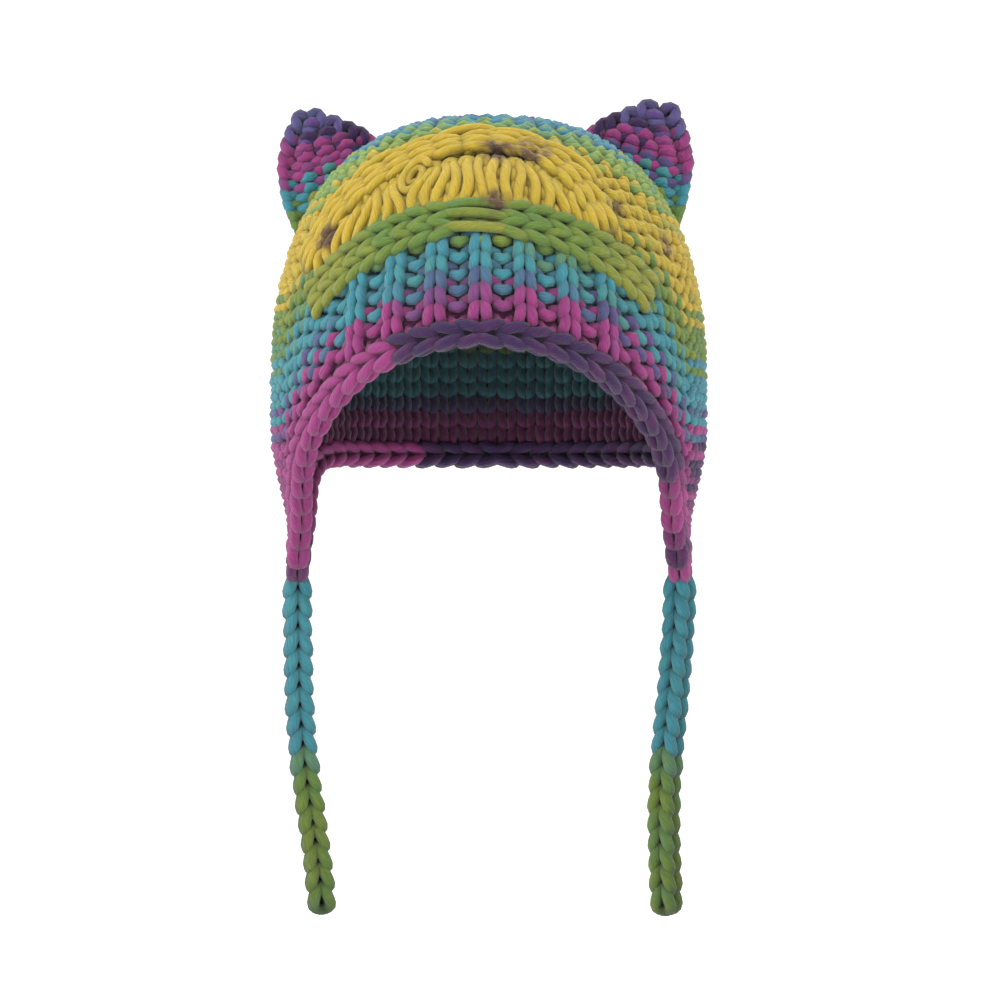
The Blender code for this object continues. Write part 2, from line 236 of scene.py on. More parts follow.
# Ears: feet on the dome as angles from straight up, and sections of the inner and outer edge to the tip
EARS = {
    "ear_left": {"inner_foot": 22.5, "width": 0.0365, "rise": 0.0100, "height": 0.0505},
    "ear_right": {"inner_foot": 19.5, "width": 0.0436, "rise": 0.0125, "height": 0.0545},
}
EAR_OUTER_FOOT = 51.5
EAR_BULGE = 0.0436
EAR_Y = 0.0040
EAR_THICKNESS = 0.0150
EAR_THINS = 0.45
EAR_SECTIONS = (
    (0.000, 0.000, 0.000, 0.000), (0.110, 0.260, 0.010, 0.170), (0.220, 0.440, 0.045, 0.330),
    (0.330, 0.600, 0.085, 0.500), (0.440, 0.740, 0.085, 0.640), (0.545, 0.870, 0.060, 0.775),
    (0.640, 0.980, 0.020, 0.880), (0.715, 1.000, -0.035, 0.935),
)
EAR_DEEP = 0.93
# How far the knitting stands out from that outline, at shares of the ear's height
EAR_STAND_AT = (0.0, 0.15, 0.30, 0.50, 0.65, 0.80, 0.95)
EAR_STAND_OUT = {
    "ear_left": (0.0011, 0.0040, 0.0054, 0.0050, 0.0046, 0.0034, 0.0010),
    "ear_right": (-0.0010, 0.0011, 0.0018, 0.0015, 0.0008, -0.0005, -0.0018),
}
EAR_STAND_IN = {"ear_left": 0.0, "ear_right": 0.0012}
# The ears' rows, which lie less steep towards the tip
EAR_ROW = {"ear_left": 0.00435, "ear_right": 0.0045}
EAR_ROWS = 11
EAR_STITCH = 1.8
EAR_TILTS = (28.0, 7.0)
EAR_BASE = 0.002
EAR_REACH = 0.0780
EAR_HEADROOM = 0.0016
EAR_TIP = 0.0038
EAR_LEAST_DEPTH = 0.0012
EAR_SQUARENESS = 0.75
EAR_POINTS = 121
EAR_FILL = 0.0016
EAR_CORE_TOP = ((0.92, 0.0024), (0.0, 0.0028))
# The ears' stripes at shares of their height, and how much they climb towards the outer edge
EAR_FOOT_DYE = 4.0
EAR_TIP_DYE = 7.9
EAR_STRIPES = (0.22, 0.38, 0.43, 0.74)
EAR_STRIPES_CLIMB = 0.20
EAR_UNEVEN_DYE = 0.10

# Ties: the routes of their middles, in metres
TIE_ROUTES = {
    "tie_left": (
        (-0.0706, -0.0062, -0.0843), (-0.0706, -0.0066, -0.0960), (-0.0702, -0.0076, -0.1090),
        (-0.0699, -0.0086, -0.1220), (-0.0692, -0.0092, -0.1350), (-0.0676, -0.0093, -0.1520),
        (-0.0652, -0.0090, -0.1700), (-0.0628, -0.0086, -0.1880), (-0.0612, -0.0084, -0.2060),
    ),
    "tie_right": (
        (0.0704, -0.0062, -0.0843), (0.0701, -0.0066, -0.0960), (0.0692, -0.0077, -0.1090),
        (0.0680, -0.0088, -0.1230), (0.0664, -0.0095, -0.1390), (0.0650, -0.0097, -0.1560),
        (0.0645, -0.0096, -0.1730), (0.0650, -0.0092, -0.1900), (0.0656, -0.0088, -0.2060),
    ),
}
TIE_POINTS = 60
# Painted shade: the ties' links grow darker towards their lower ends
TIE_LINK = {"width": 0.0062, "height": 0.0013, "lift": 0.0019, "painted_shade": (0.20, 0.52)}
TIE_END = 0.0035
TIE_FILLING = (0.0018, -0.002, 0.004)
TIE_DYE = 3.0
TIE_STRIPES = {"tie_left": (0.52, 1.2), "tie_right": (0.51, 1.2)}
TIE_SOFTNESS = 0.10
TIE_TURNS = {"tie_left": 8.0, "tie_right": -28.0}

# The studio, and a camera that stands where the photograph was taken from
FLOOR_Z = -0.30
FLOOR_RADIUS = 6.0
FLOOR_BEND = 1.5
FLOOR_BEND_STEPS = 12
WALL_HEIGHT = 5.0
SPIN_STEPS = 96
LIGHTS_TARGET = (0.0, 0.0, -0.02)
LIGHTS = (
    ("key", (-0.5, -1.1, 1.7), 0.8, 26.0),
    ("left", (-1.6, -0.5, 0.4), 0.9, 8.0),
    ("right", (1.6, -0.5, 0.5), 0.9, 7.0),
    ("rim", (0.1, 0.9, 1.5), 0.8, 16.0),
)
WORLD_STRENGTH = 0.6
CAMERA_AZIMUTH = 1.8
CAMERA_DISTANCE = 1.5
CAMERA_X = 0.0040
CAMERA_Z = -0.0538
FRAME_WIDTH = 0.370
SENSOR = 36.0


def srgb(red, green, blue):
    """A colour given as 0 to 255 on a screen, as the linear values that shaders take."""
    shares = (red / 255, green / 255, blue / 255)
    return tuple(v / 12.92 if v < 0.04045 else ((v + 0.055) / 1.055) ** 2.4 for v in shares)


def length(name, description, default):
    return FloatProperty(name=name, description=description, default=default, unit="LENGTH")


def part_of(name, description, default):
    return FloatProperty(name=name, description=description, default=default, subtype="FACTOR")


class KnitSizes(PropertyGroup):
    stitch: length("Stitch", "Width of one stitch", 0.0082)
    row: length("Row", "Height of one row", 0.0059)
    yarn: length("Yarn", "Thickness of the yarn", 0.0042)
    depth: length("Loop depth", "How far loops reach to each side of the wall's middle", 0.0016)
    rise: part_of("Loop rise", "How far a loop reaches above its row, in rows", 0.78)
    pinch: part_of("Loop pinch", "How far loops close in at their feet, in stitches", 0.16)
    link: length("Link", "Length of a chain link on edging, ropes and ties", 0.0072)


def dye_property(name, *shades):
    return FloatVectorProperty(
        name=name,
        description=f"{name} of the yarn's stripes",
        subtype="COLOR",
        size=3,
        min=0.0,
        max=1.0,
        default=srgb(*shades),
    )


class YarnColours(PropertyGroup):
    purple: dye_property("Purple", 50, 27, 70)
    magenta: dye_property("Magenta", 142, 50, 112)
    indigo: dye_property("Indigo", 74, 66, 112)
    teal: dye_property("Teal", 54, 128, 140)
    green: dye_property("Green", 92, 120, 48)
    yellow: dye_property("Yellow", 182, 154, 44)
    leaf: dye_property("Leaf green", 116, 146, 70)
    sea: dye_property("Sea blue", 58, 124, 146)
    violet: dye_property("Violet", 84, 56, 116)
    brown: dye_property("Brown fleck", 88, 66, 50)


RAINBOW = ("purple", "magenta", "indigo", "teal", "green", "yellow", "leaf", "sea", "violet")


# Curves and stripes


def smooth_step(value):
    value = np.clip(value, 0.0, 1.0)
    return value * value * (3.0 - 2.0 * value)


def smooth_curve(knots, values, wanted):
    """Natural cubic curve through a few given values."""
    knots, values = np.asarray(knots, float), np.asarray(values, float)
    steps = np.diff(knots)
    count = len(knots)
    system = np.eye(count)
    sides = np.zeros(count)
    for i in range(1, count - 1):
        system[i, i - 1 : i + 2] = steps[i - 1], 2 * (steps[i - 1] + steps[i]), steps[i]
        rise = (values[i + 1] - values[i]) / steps[i] - (values[i] - values[i - 1]) / steps[i - 1]
        sides[i] = 6.0 * rise
    bend = np.linalg.solve(system, sides)
    k = np.clip(np.searchsorted(knots, wanted) - 1, 0, count - 2)
    left, right, step = knots[k + 1] - wanted, wanted - knots[k], steps[k]
    cubic = (bend[k] * left**3 + bend[k + 1] * right**3) / (6 * step)
    linear = (values[k] / step - bend[k] * step / 6) * left
    return cubic + linear + (values[k + 1] / step - bend[k + 1] * step / 6) * right


def way_along(points):
    """The way from a line's first point to each of its points."""
    return np.append(0.0, np.cumsum(np.linalg.norm(np.diff(points, axis=0), axis=1)))


def unit(vectors):
    return vectors / np.maximum(np.linalg.norm(vectors, axis=1), 1e-9)[:, None]


def stripes(distance, edges, softness=STRIPE_SOFTNESS):
    """Place in the rainbow: one colour further for each edge that is passed."""
    distance = np.asarray(distance, float)
    return sum(smooth_step((distance - edge) / softness + 0.5) for edge in edges)


def fold(turn):
    """Degrees from the front, the same to the left and right."""
    return np.abs((np.degrees(turn) + 180.0) % 360.0 - 180.0)


def crown_dye(turn, distance):
    """The crown's place in the rainbow. Its stripes climb to both sides of the front."""
    right = np.sin(turn) > 0
    flank = smooth_step((fold(turn) - FLANK_START) / FLANK_SPAN)
    climb = flank * np.where(right, CLIMB_RIGHT, CLIMB_LEFT) * np.interp(distance, CLIMB_AT, CLIMB_BY)
    edge = np.clip(1.0 - distance / PURPLE_REACH, 0.0, 1.0) * right * (fold(turn) < PURPLE_END)
    return stripes(distance - climb - flank * edge * PURPLE_CLIMB, CROWN_STRIPES)


# The body's surface


def oval_radius(turn, inset):
    across = np.sin(turn) / (HALF_WIDTH - inset)
    along = np.cos(turn) / (HALF_DEPTH - inset)
    return 1.0 / np.hypot(across, along)


def drawn_in(z):
    return 1.0 - TUCK / HALF_WIDTH * smooth_step((TUCK_TOP_Z - z) / TUCK_DEPTH)


def at(turn, radius, z):
    return np.stack((radius * np.sin(turn), -radius * np.cos(turn), z + 0.0 * turn), axis=-1)


def outward(points):
    """Unit directions out of the body at points near its surface."""
    x, y, z = points.T
    flat_x, flat_y = x / HALF_WIDTH**2, y / HALF_DEPTH**2
    round_share = np.maximum((x / HALF_WIDTH) ** 2 + (y / HALF_DEPTH) ** 2, 1e-9)
    swell = round_share ** (DOME_POWER / 2 - 1)
    up = np.maximum(z - WAIST_Z, 0.0) / DOME_HEIGHT
    slope = (drawn_in(z + SLOPE_STEP) - drawn_in(z - SLOPE_STEP)) / (2 * SLOPE_STEP)
    lift = up ** (DOME_POWER - 1) / DOME_HEIGHT - np.hypot(flat_x, flat_y) * slope * HALF_WIDTH
    return unit(np.stack((flat_x * swell, flat_y * swell, lift), axis=-1))


def front_arch(azimuth):
    return EDGING_RADIUS - ARCH_DROP * (1.0 - np.cos(np.radians(azimuth)))


def hem_curve():
    knots = ARCH_AZIMUTHS + tuple(row[0] for row in HEM)
    heights = [front_arch(a) for a in ARCH_AZIMUTHS]
    heights += [EDGING_RADIUS - HEM_DROP * row[1] for row in HEM]
    curve = smooth_curve(knots, heights, HEM_AZIMUTHS)
    return np.where(HEM_AZIMUTHS <= ARCH_AZIMUTHS[-1], front_arch(HEM_AZIMUTHS), curve)


HEM_AZIMUTHS = np.linspace(0.0, 180.0, 721)
HEM_HEIGHTS = hem_curve()


def above_edging():
    """The lowest height at each azimuth that is clear of the edging."""
    reach = EDGING_RADIUS + CLEARANCE
    radii = oval_radius(np.radians(HEM_AZIMUTHS), MID_INSET)
    steps = np.radians(np.diff(HEM_AZIMUTHS)) * (radii[:-1] + radii[1:]) / 2
    along = np.append(0.0, np.cumsum(steps))
    apart = np.abs(along[:, None] - along[None, :])
    lift = np.sqrt(np.clip(reach**2 - apart**2, 0.0, None))
    return np.where(apart < reach, HEM_HEIGHTS[None, :] + lift, -1.0).max(axis=1)


EDGE_HEIGHTS = above_edging()


def crown_edge_z(turn):
    return np.maximum(np.interp(fold(turn), HEM_AZIMUTHS, EDGE_HEIGHTS), JOIN_Z)


# Heights up the crown's wall and over its dome, with the body's share of its full girth at each
LOW_HEIGHTS = np.linspace(-0.10, WAIST_Z, 60)[:-1]
DOME_TURNS = np.linspace(0.0, math.pi / 2, 160)
DOME_HEIGHTS = WAIST_Z + (DOME_HEIGHT - MID_INSET) * np.sin(DOME_TURNS) ** (2 / DOME_POWER)
DOME_SHARES = np.clip(np.cos(DOME_TURNS), 0, 1) ** (2 / DOME_POWER)
LINE_HEIGHTS = np.append(LOW_HEIGHTS, DOME_HEIGHTS)
LINE_SHARES = np.append(drawn_in(LOW_HEIGHTS), DOME_SHARES)


def mid_wall(turn, z):
    """Points on the wall's middle below the dome."""
    return at(turn, oval_radius(turn, MID_INSET) * drawn_in(z), z)


def picked(table, place):
    index = np.clip(place.astype(int), 0, table.shape[1] - 2)
    share = place - index
    rows = np.arange(len(table))
    return table[rows, index] * (1 - share) + table[rows, index + 1] * share


class Meridians:
    """The lines over the mid-wall from the crown's edge to its top, at many azimuths at once."""

    def __init__(self, turn):
        self.turn = turn
        self.radii = oval_radius(turn, MID_INSET)[:, None] * LINE_SHARES[None, :]
        steps = np.hypot(np.diff(self.radii, axis=1), np.diff(LINE_HEIGHTS)[None, :])
        self.lengths = np.concatenate((np.zeros((len(turn), 1)), np.cumsum(steps, axis=1)), axis=1)
        places = np.interp(crown_edge_z(turn), LINE_HEIGHTS, np.arange(len(LINE_HEIGHTS)))
        self.start = picked(self.lengths, places)
        self.length = self.lengths[:, -1] - self.start

    def points(self, distance, lift=0.0):
        """Points at a distance up from the crown's edge, and how far out of the mid-wall."""
        wanted = np.clip(self.start + distance, 0.0, self.lengths[:, -1])
        index = np.clip((self.lengths <= wanted[:, None]).sum(axis=1) - 1, 0, len(LINE_HEIGHTS) - 2)
        rows = np.arange(len(wanted))
        low, high = self.lengths[rows, index], self.lengths[rows, index + 1]
        share = (wanted - low) / (high - low)
        radius = self.radii[rows, index] * (1 - share) + self.radii[rows, index + 1] * share
        z = LINE_HEIGHTS[index] * (1 - share) + LINE_HEIGHTS[index + 1] * share
        points = at(self.turn, radius, z)
        return points + outward(points) * np.broadcast_to(lift, wanted.shape)[:, None]


WAIST_TURNS = np.linspace(0.0, 2 * math.pi, 1441)
WAIST_GIRTHS = way_along(at(WAIST_TURNS, oval_radius(WAIST_TURNS, 0.0), 0.0))
STITCH_PITCH = WAIST_GIRTHS[-1] / STITCHES_ROUND
FRONT_LENGTH = float(Meridians(np.zeros(1)).length[0])


# Yarn


def fleck_at(points):
    """How much of a brown fleck there is at each point."""
    amount = np.zeros(len(points))
    for azimuth, distance, size in FLECKS:
        middle = Meridians(np.radians([azimuth])).points(np.array([distance]), FLECK_LIFT)
        away = np.linalg.norm(points - middle, axis=1)
        amount = np.maximum(amount, smooth_step(FLECK_SPREAD - away / size))
    return amount


class Yarn:
    """One stretch of yarn: its points, radii, place in the rainbow, and its painted shade from how deep it
    lies.
    """

    def __init__(self, points, radius, dye, shade=0.0, closed=False, facing=None):
        count = len(points)
        self.points = points
        self.facing = outward(points) if facing is None else facing
        self.radius = np.broadcast_to(radius, (count,))
        self.dye = np.broadcast_to(dye, (count,))
        self.shade = np.broadcast_to(shade, (count,))
        self.closed = closed
        if not closed:
            self.round_off()

    def round_off(self):
        """Closes both ends with a small dome."""
        first = self.points[0] - self.points[1]
        last = self.points[-1] - self.points[-2]
        first *= self.radius[0] / np.linalg.norm(first)
        last *= self.radius[-1] / np.linalg.norm(last)
        before = self.points[0] + first * TIP_REACH[::-1, None]
        after = self.points[-1] + last * TIP_REACH[:, None]
        self.points = np.vstack((before, self.points, after))
        tips = self.radius[0] * TIP_RADIUS[::-1], self.radius[-1] * TIP_RADIUS
        self.radius = np.concatenate((tips[0], self.radius, tips[1]))
        self.dye = np.pad(self.dye, 2, mode="edge")
        self.shade = np.pad(self.shade, 2, mode="edge")
        self.facing = np.pad(self.facing, ((2, 2), (0, 0)), mode="edge")

    def side_shade(self, around):
        """Painted shade for each vertex about the yarn: more the further it is turned into the gap beside
        it.
        """
        spokes = around - np.repeat(self.points, SIDES, axis=0)
        away = np.abs((unit(spokes) * np.repeat(self.facing, SIDES, axis=0)).sum(axis=1))
        return SIDE_SHADE * (1.0 - away)


def add_object(name, data):
    item = bpy.data.objects.new(name, data)
    bpy.context.scene.collection.objects.link(item)
    return item


def add_piece(name, mesh, nodes=()):
    """Puts a finished mesh in the scene as a woollen piece of the hat."""
    mesh.shade_smooth()
    mesh.materials.clear()
    mesh.materials.append(wool())
    piece = add_object(name, mesh)
    if nodes:
        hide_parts(*nodes)
    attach(piece, "root")
    return piece


def add_values(mesh, strand, **values):
    """Gives each vertex the numbers that the wool reads, and its place on the strand."""
    for name, numbers in values.items():
        layer = mesh.attributes.new(name, "FLOAT", "POINT")
        layer.data.foreach_set("value", numbers.astype(np.float32))
    layer = mesh.attributes.new("strand", "FLOAT_VECTOR", "POINT")
    layer.data.foreach_set("vector", strand.astype(np.float32).ravel())


def spin(name, yarns, nodes=()):
    """Makes one mesh of many yarns, with what their material reads as attributes."""
    curve = bpy.data.curves.new(name, "CURVE")
    curve.dimensions = "3D"
    curve.bevel_depth = 1.0
    curve.bevel_resolution = SIDES // 2 - 2
    for yarn in yarns:
        spline = curve.splines.new("POLY")
        spline.points.add(len(yarn.points) - 1)
        places = np.column_stack((yarn.points, np.ones(len(yarn.points))))
        spline.points.foreach_set("co", places.ravel())
        spline.points.foreach_set("radius", np.array(yarn.radius, float))
        spline.use_cyclic_u = yarn.closed
    guide = add_object(name + "_guide", curve)
    evaluated = guide.evaluated_get(bpy.context.evaluated_depsgraph_get())
    mesh = bpy.data.meshes.new_from_object(evaluated)
    bpy.data.objects.remove(guide)
    bpy.data.curves.remove(curve)
    mesh.name = name
    expected = SIDES * sum(len(yarn.points) for yarn in yarns)
    if len(mesh.vertices) != expected:
        raise RuntimeError(f"{name}: {len(mesh.vertices)} vertices and not {expected}")
    add_yarn_values(mesh, yarns)
    close_ends(mesh)
    return add_piece(name, mesh, nodes)


def close_ends(mesh):
    """Puts a face over the small round opening at each end of an open yarn."""
    shape = bmesh.new()
    shape.from_mesh(mesh)
    rims = [edge for edge in shape.edges if edge.is_boundary]
    bmesh.ops.holes_fill(shape, edges=rims, sides=SIDES)
    shape.to_mesh(mesh)
    shape.free()


def add_yarn_values(mesh, yarns):
    around = 2 * math.pi * np.arange(SIDES) / SIDES
    places = np.empty(len(mesh.vertices) * 3, dtype=np.float32)
    mesh.vertices.foreach_get("co", places)
    rings = np.split(places.reshape(-1, 3), SIDES * np.cumsum([len(y.points) for y in yarns])[:-1])
    dyes, shades, strands = [], [], []
    start = 0.0
    for yarn, ring_places in zip(yarns, rings):
        along = start + way_along(yarn.points)
        start = along[-1] + YARN_GAP
        dyes.append(np.repeat(yarn.dye, SIDES))
        # Painted shade: the yarn's own, and more on its sides that face the gaps
        shades.append(np.repeat(yarn.shade, SIDES) + yarn.side_shade(ring_places))
        ring = along[:, None] * FIBRE_TWIST + around[None, :]
        ways = np.broadcast_to(along[:, None], ring.shape)
        strands.append(np.stack((np.cos(ring), np.sin(ring), ways), axis=-1).reshape(-1, 3))
    flecks = np.repeat(fleck_at(np.vstack([yarn.points for yarn in yarns])), SIDES)
    dyes, shades, strands = map(np.concatenate, (dyes, shades, strands))
    add_values(mesh, strands, dye=dyes, shade=shades, fleck=flecks)


def lay_shaded_skin(name, rows, dye):
    """A thin skin inside the knitting, so that no light comes through between the loops. It is painted in
    full shade, so the gaps show dark.
    """
    count, across = rows.shape[:2]
    points = rows.reshape(-1, 3)
    shape = bmesh.new()
    bmesh.ops.create_grid(shape, x_segments=across - 1, y_segments=count - 1, size=1.0)
    mesh = bpy.data.meshes.new(name)
    shape.to_mesh(mesh)
    mesh.vertices.foreach_set("co", points.astype(np.float32).ravel())
    dyes = np.broadcast_to(dye, (count, across)).ravel()
    # Painted shade: the skin takes full shade everywhere
    shades = np.ones(len(points))
    add_values(mesh, points * CORE_FIBRE, dye=dyes, shade=shades, fleck=fleck_at(points))
    shape.clear()
    shape.from_mesh(mesh)
    bmesh.ops.remove_doubles(shape, verts=shape.verts, dist=MERGE_REACH)
    bmesh.ops.recalc_face_normals(shape, faces=shape.faces)
    shape.to_mesh(mesh)
    shape.free()
    add_piece(name, mesh)


# Rows of stitches


def stitch_wave(kinds, pinch, closed):
    """Places along a row of loops that hang down: column, rise and lift."""
    kinds = np.asarray(kinds, float)
    count = len(kinds)
    steps = np.arange(count * SAMPLES + (0 if closed else 1))
    index = np.minimum(steps // SAMPLES, count - 1)
    share = steps / SAMPLES - index
    before = np.roll(kinds, 1) if closed else np.append(kinds[:1], kinds[:-1])
    after = np.roll(kinds, -1) if closed else np.append(kinds[1:], kinds[-1:])
    near = 0.5 + 0.5 * np.cos(math.pi * np.clip(share / KIND_BLEND, 0, 1))
    far = 0.5 + 0.5 * np.cos(math.pi * np.clip((1 - share) / KIND_BLEND, 0, 1))
    kind = kinds[index] * (1 - 0.5 * near - 0.5 * far)
    kind = kind + 0.5 * near * before[index] + 0.5 * far * after[index]
    phase = 2 * math.pi * share
    column = index + share + pinch * np.sin(2 * phase)
    return column, np.cos(phase), -kind * np.cos(2 * phase)


def uneven(count, seed, size):
    """Small smooth differences from stitch to stitch, the same each run."""
    draws = np.random.default_rng(seed).normal(0.0, size, count // SAMPLES + 3)
    return np.interp(np.arange(count) / SAMPLES, np.arange(len(draws)), draws)


def shade_of(lift):
    """Painted shade for a point, from 0 to 1: how far it lies below the loops' crests."""
    return np.clip(0.5 - 0.5 * np.asarray(lift), 0.0, 1.0)


def crown_yarn(sizes, points, dye, lift, closed, seeds):
    """A row of the crown, with a seed each for its thickness and dye."""
    thick = sizes.yarn / 2 * (1 + uneven(len(lift), seeds[0], UNEVEN_THICK))
    dye = np.maximum(dye + uneven(len(lift), seeds[1], UNEVEN_DYE), 0.0)
    return Yarn(points, thick, dye, shade_of(lift), closed)


def panel_kind(row, column):
    """Knit or purl for a stitch of the lower rows, counted from the front's middle."""
    side = abs(column)
    if side > PANEL_STITCHES:
        return PURL
    if row < RIB_ROWS:
        return KNIT if column % 2 == 0 else PURL
    if row in ROPE_BED or (row == LOWER_ROWS - 1 and side <= CAP_STITCHES):
        return KNIT
    return PURL


def lower_row(sizes, row):
    """One closed round of the crown, at a fixed distance from its edge."""
    half = STITCHES_ROUND // 2
    signed = (np.arange(STITCHES_ROUND) + half) % STITCHES_ROUND - half
    kinds = [panel_kind(row, int(c)) for c in signed]
    column, rise, lift = stitch_wave(kinds, sizes.pinch, True)
    girth = ((column - 0.5) * STITCH_PITCH) % WAIST_GIRTHS[-1]
    turn = np.interp(girth, WAIST_GIRTHS, WAIST_TURNS)
    count = len(turn)
    distance = FIRST_ROW + row * sizes.row
    level = distance + sizes.row * sizes.rise * rise + uneven(count, SEED["level"] + row, UNEVEN_LEVEL)
    raised = sizes.depth * lift + uneven(count, SEED["lift"] + row, UNEVEN_LIFT)
    if row < RIB_ROWS:
        near = np.minimum(girth, WAIST_GIRTHS[-1] - girth)
        ribs = near < STITCH_PITCH * (PANEL_STITCHES + 0.5)
        raised = raised + ribs * RIB_RISE * np.cos(math.pi * girth / STITCH_PITCH)
    wander = sum(size * np.sin(waves * turn + shift * row) for size, waves, shift in WANDER)
    points = Meridians(turn).points(level, raised)
    dye = crown_dye(turn, distance + wander)
    return crown_yarn(sizes, points, dye, lift, True, (SEED["thick"] + row, SEED["dye"] + row))


def upper_row(sizes, ring, reach, turns, last):
    """A round about the top or a short row below one, at a distance from the crown's top."""
    closed = len(turns) > RING_STEPS
    line = Meridians(turns)
    girths = way_along(line.points(line.length - reach))
    stitches = int(round(girths[-1] / sizes.stitch))
    if stitches < FEWEST_STITCHES:
        return []
    column, rise, lift = stitch_wave([PURL] * stitches, sizes.pinch, closed)
    places = column / stitches * girths[-1]
    if closed:
        places = places % girths[-1]
    turn = np.interp(places, girths, turns)
    line = Meridians(turn)
    level = line.length - reach + sizes.row * sizes.rise * rise * min(1.0, reach / RING_CALM)
    raised = sizes.depth * lift + uneven(len(turn), SEED["ring_lift"] + ring, UNEVEN_LIFT)
    height = last + (1 - reach / (line.length - last)) * (FRONT_LENGTH - last)
    dye = crown_dye(turn, height + RING_WANDER * np.sin(5 * turn + ring))
    points = line.points(level, raised)
    seeds = (SEED["ring_thick"] + ring, SEED["ring_dye"] + ring)
    return [crown_yarn(sizes, points, dye, lift, closed, seeds)]


def open_stretches(inside):
    """First and last index of each unbroken stretch that is inside, going round."""
    if inside.all():
        return [(0, RING_STEPS)]
    shift = int(np.argmin(inside))
    edges = np.flatnonzero(np.diff(np.roll(inside, -shift).astype(int)))
    return [(a + 1 + shift, b + shift) for a, b in zip(edges[::2], edges[1::2])]


def upper_rows(sizes):
    """Rounds and short rows about the crown's top, above the last of the lower rows."""
    last = FIRST_ROW + (LOWER_ROWS - 0.5) * sizes.row
    turns = np.linspace(0.0, 2 * math.pi, RING_STEPS + 1)[:-1]
    room = Meridians(turns).length - last
    yarns = []
    for ring in range(int(room.max() / sizes.row)):
        reach = FIRST_RING + ring * sizes.row
        for first, after in open_stretches(reach < room - RING_ROOM * sizes.row):
            span = np.radians(np.arange(first, after + 1) * 360.0 / RING_STEPS)
            yarns += upper_row(sizes, ring, reach, span, last)
    return yarns


# Chains, for the edging, the ropes and the ties


def link_shape():
    """One chain link as along, across and up, smooth through its listed points."""
    half = np.array(LINK_HALF)
    shape = np.vstack((half, half[-2::-1] * (1, -1, 1)))
    wanted = np.linspace(0, len(shape) - 1, LINK_POINTS)
    return np.stack([smooth_curve(np.arange(len(shape)), way, wanted) for way in shape.T], axis=1)


class Track:
    """A path with a direction out of the hat at each point, to lay chains on."""

    def __init__(self, points, normals):
        self.points = points
        self.normals = normals
        self.along = way_along(points)
        self.length = self.along[-1]
        self.tangents = unit(np.gradient(points, axis=0))

    def at(self, along):
        def mixed(values):
            return np.stack([np.interp(along, self.along, column) for column in values.T], axis=1)

        tangent = unit(mixed(self.tangents))
        across = unit(np.cross(tangent, mixed(self.normals)))
        beyond = (along - np.clip(along, 0.0, self.length))[:, None] * tangent
        return mixed(self.points) + beyond, across, np.cross(across, tangent)


def filling(track, radius, dye, start, end):
    """A plain yarn along a track, which closes the view between the links round it. It is painted deep in
    shade.
    """
    along = np.linspace(start, end, FILLING_POINTS)
    return Yarn(track.at(along)[0], radius, [dye(place) for place in along], FILLING_SHADE)


def chain(track, link, radius, dye, width, height, lift, offset=0.0, start=0.0, end=None, painted_shade=(0.0, 0.0)):
    """Links along a track, each open towards its end. Dye and painted shade follow the way."""
    shape = link_shape()
    end = track.length if end is None else end
    count = max(1, int(round((end - start) / link)))
    pitch = (end - start) / count
    yarns = []
    for number in range(count):
        points, across, normal = track.at(start + (number + shape[:, 0]) * pitch)
        side = offset + width * shape[:, 1] * (1 + LINK_VARIES * math.sin(3.1 * number))
        rise = lift + height * shape[:, 2]
        points = points + across * side[:, None] + normal * rise[:, None]
        thick = radius * (1 + LINK_VARIES * math.sin(2.3 * number + 40 * offset))
        place = start + (number + 0.5) * pitch
        # Painted shade added along the way, from the first value to the second
        added_shade = painted_shade[0] + (painted_shade[1] - painted_shade[0]) * place / track.length
        # Painted shade: darker where the link dips below its crest
        shade = LINK_SHADE - 0.5 * shape[:, 2]
        yarns.append(Yarn(points, thick, dye(place), shade + (1.0 - shade) * added_shade, facing=normal))
    return yarns


# Materials


class Socket:
    """A shader output that takes part in sums. Each sum adds a Math node."""

    def __init__(self, shader, output):
        self.shader = shader
        self.output = output

    def sum(self, operation, first, second):
        settings = {"operation": operation}
        node = self.shader.node("ShaderNodeMath", settings, {0: first, 1: second})
        return Socket(self.shader, node.outputs[0])

    def __add__(self, other):
        return self.sum("ADD", self, other)

    def __radd__(self, other):
        return self.sum("ADD", other, self)

    def __sub__(self, other):
        return self.sum("SUBTRACT", self, other)

    def __rsub__(self, other):
        return self.sum("SUBTRACT", other, self)

    def __mul__(self, other):
        return self.sum("MULTIPLY", self, other)

    def __rmul__(self, other):
        return self.sum("MULTIPLY", other, self)

    def __truediv__(self, other):
        return self.sum("DIVIDE", self, other)


